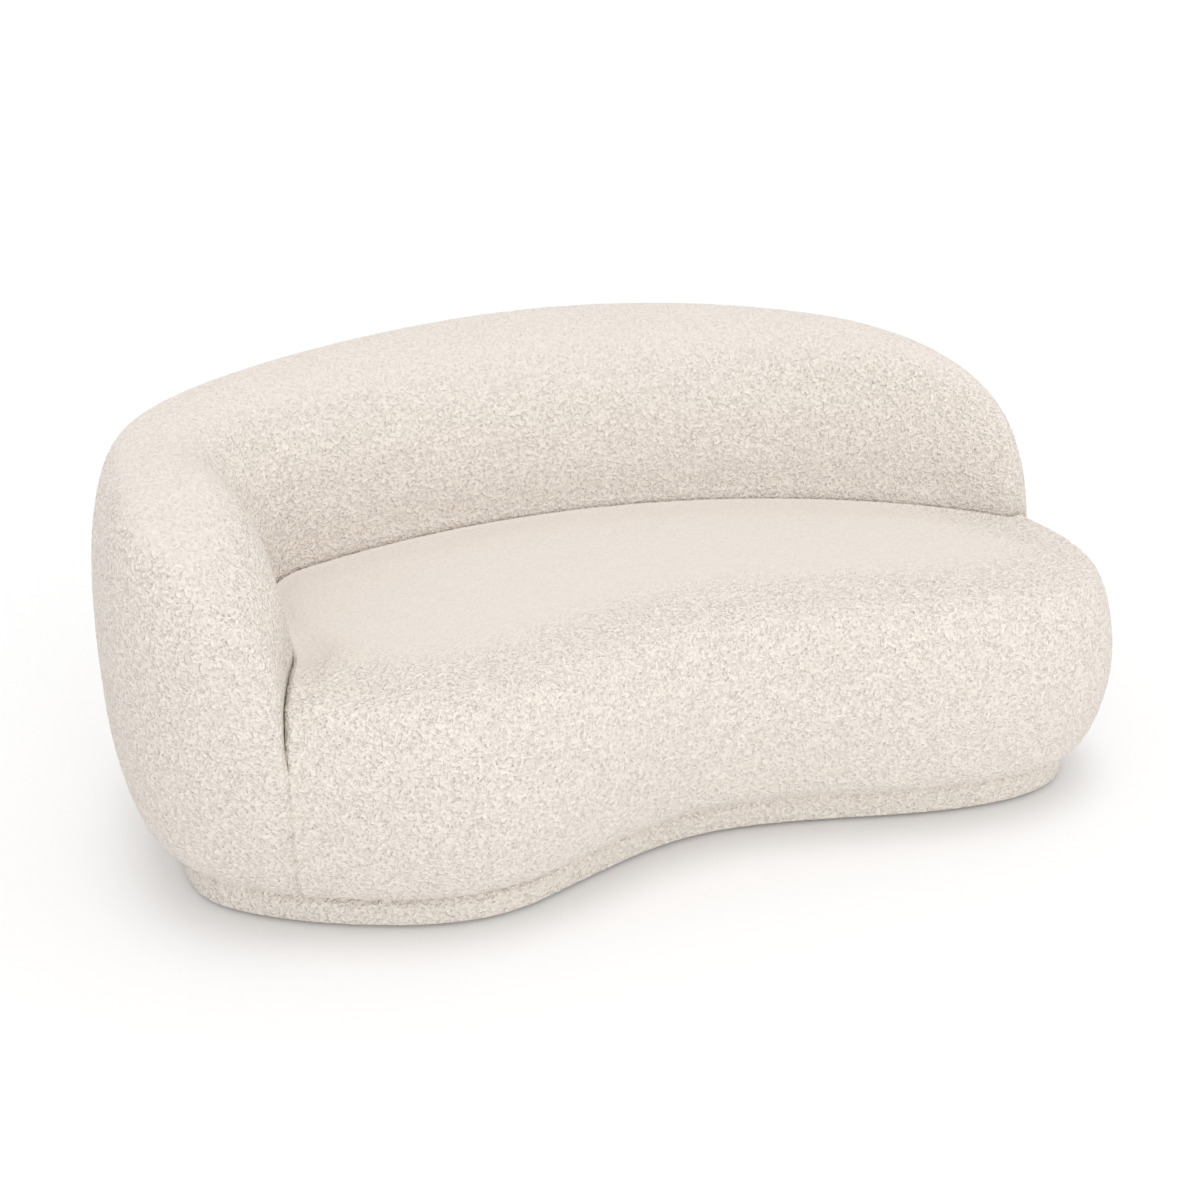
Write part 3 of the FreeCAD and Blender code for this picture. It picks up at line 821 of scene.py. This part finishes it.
def dust_cloth():
    """The thin black cloth stapled under the plinth, a little slack between its fixings."""
    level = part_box("dust_cover")[1][2] * 1000 - DUST_DROP
    spots, ways = on_outline(np.arange(DUST_AROUND) * OUTLINE_LENGTH / DUST_AROUND)
    edge = spots + ways * DUST_EDGE
    rows = []
    for share in np.linspace(1, DUST_MIDDLE, DUST_RINGS):
        plan = DUST_CENTRE + (edge - DUST_CENTRE) * share
        waves = DUST_SLACK * np.sin(plan[:, 0] / DUST_WAVES[0]) * np.sin(plan[:, 1] / DUST_WAVES[1])
        slack = waves * (1 - share ** 6)
        rows.append(np.concatenate([plan, level + slack[:, None]], axis=1))
    piece = tube("dust_cloth_soft", np.stack(rows) / 1000, ends=False)
    apply(piece, "SOLIDIFY", thickness=DUST_THICKNESS, offset=0.0)
    finish_piece(piece, materials["dust_cloth"], ["dust_cover"])


slots = {part["node"]: part["material_slot"] for part in frame["record"]["subparts"]}
back_cover()
seat_cover()
plinth_cover()
dust_cloth()
for foam in ("back_foam", "seat_topper_foam", "seat_foam_block", "seat_border_foam"):
    soft_filling(foam)

for name, node in frame["nodes"].items():
    if slots[name] in materials:
        node.data.materials.clear()
        node.data.materials.append(materials[slots[name]])


# ---------------------------------------------------------------- studio
def stand_for(name, data):
    """An object in the scene that holds a lamp or the camera."""
    stand = bpy.data.objects.new(name, data)
    bpy.context.collection.objects.link(stand)
    return stand


def floor():
    deselect()
    bpy.ops.mesh.primitive_plane_add(size=40, location=(0, 0, 0))
    ground = bpy.context.object
    ground.name = "floor"
    shader = Shader("floor_paint")
    ground.data.materials.append(shader.surface(Base_Color=(0.87, 0.87, 0.87), Roughness=0.9))


def overhead_light(strength, spread):
    """Even light from straight above, as from a wide white ceiling."""
    lamp = bpy.data.lights.new("overhead", "SUN")
    lamp.energy = strength
    lamp.angle = math.radians(spread)
    stand_for("overhead", lamp)


def softbox(name, location, aim, size, power):
    lamp = bpy.data.lights.new(name, "AREA")
    lamp.shape = "DISK"
    lamp.size = size
    lamp.energy = power
    stand = stand_for(name, lamp)
    stand.location = location
    way = Vector(aim) - Vector(location)
    stand.rotation_euler = way.to_track_quat("-Z", "Y").to_euler()


def surroundings(strength):
    world = bpy.data.worlds.new("studio")
    world.use_nodes = True
    background = world.node_tree.nodes["Background"]
    background.inputs["Color"].default_value = (1.0, 1.0, 1.0, 1.0)
    background.inputs["Strength"].default_value = strength
    bpy.context.scene.world = world


def camera(aim, azimuth, elevation, distance):
    """The camera stands this far from its aim, turned to the left of the front and raised."""
    lens = bpy.data.cameras.new("camera")
    lens.lens, lens.sensor_width = 51.70, 36.0
    lens.shift_x, lens.shift_y = 0.0143, 0.0084
    stand = stand_for("camera", lens)
    back_way = Vector((math.sin(azimuth) * math.cos(elevation),
                       -math.cos(azimuth) * math.cos(elevation), math.sin(elevation)))
    stand.location = Vector(aim) + back_way * distance
    stand.rotation_euler = back_way.to_track_quat("Z", "Y").to_euler()
    bpy.context.scene.camera = stand


floor()
overhead_light(strength=0.68, spread=24.0)
softbox("front_softbox", location=(0.3, -4.6, 0.9), aim=(0, 0, 0.3), size=1.4, power=34.0)
surroundings(strength=0.95)
camera(aim=(-0.0264, -0.0175, 0.3175), azimuth=math.radians(-19.05),
       elevation=math.radians(30.35), distance=3.264)
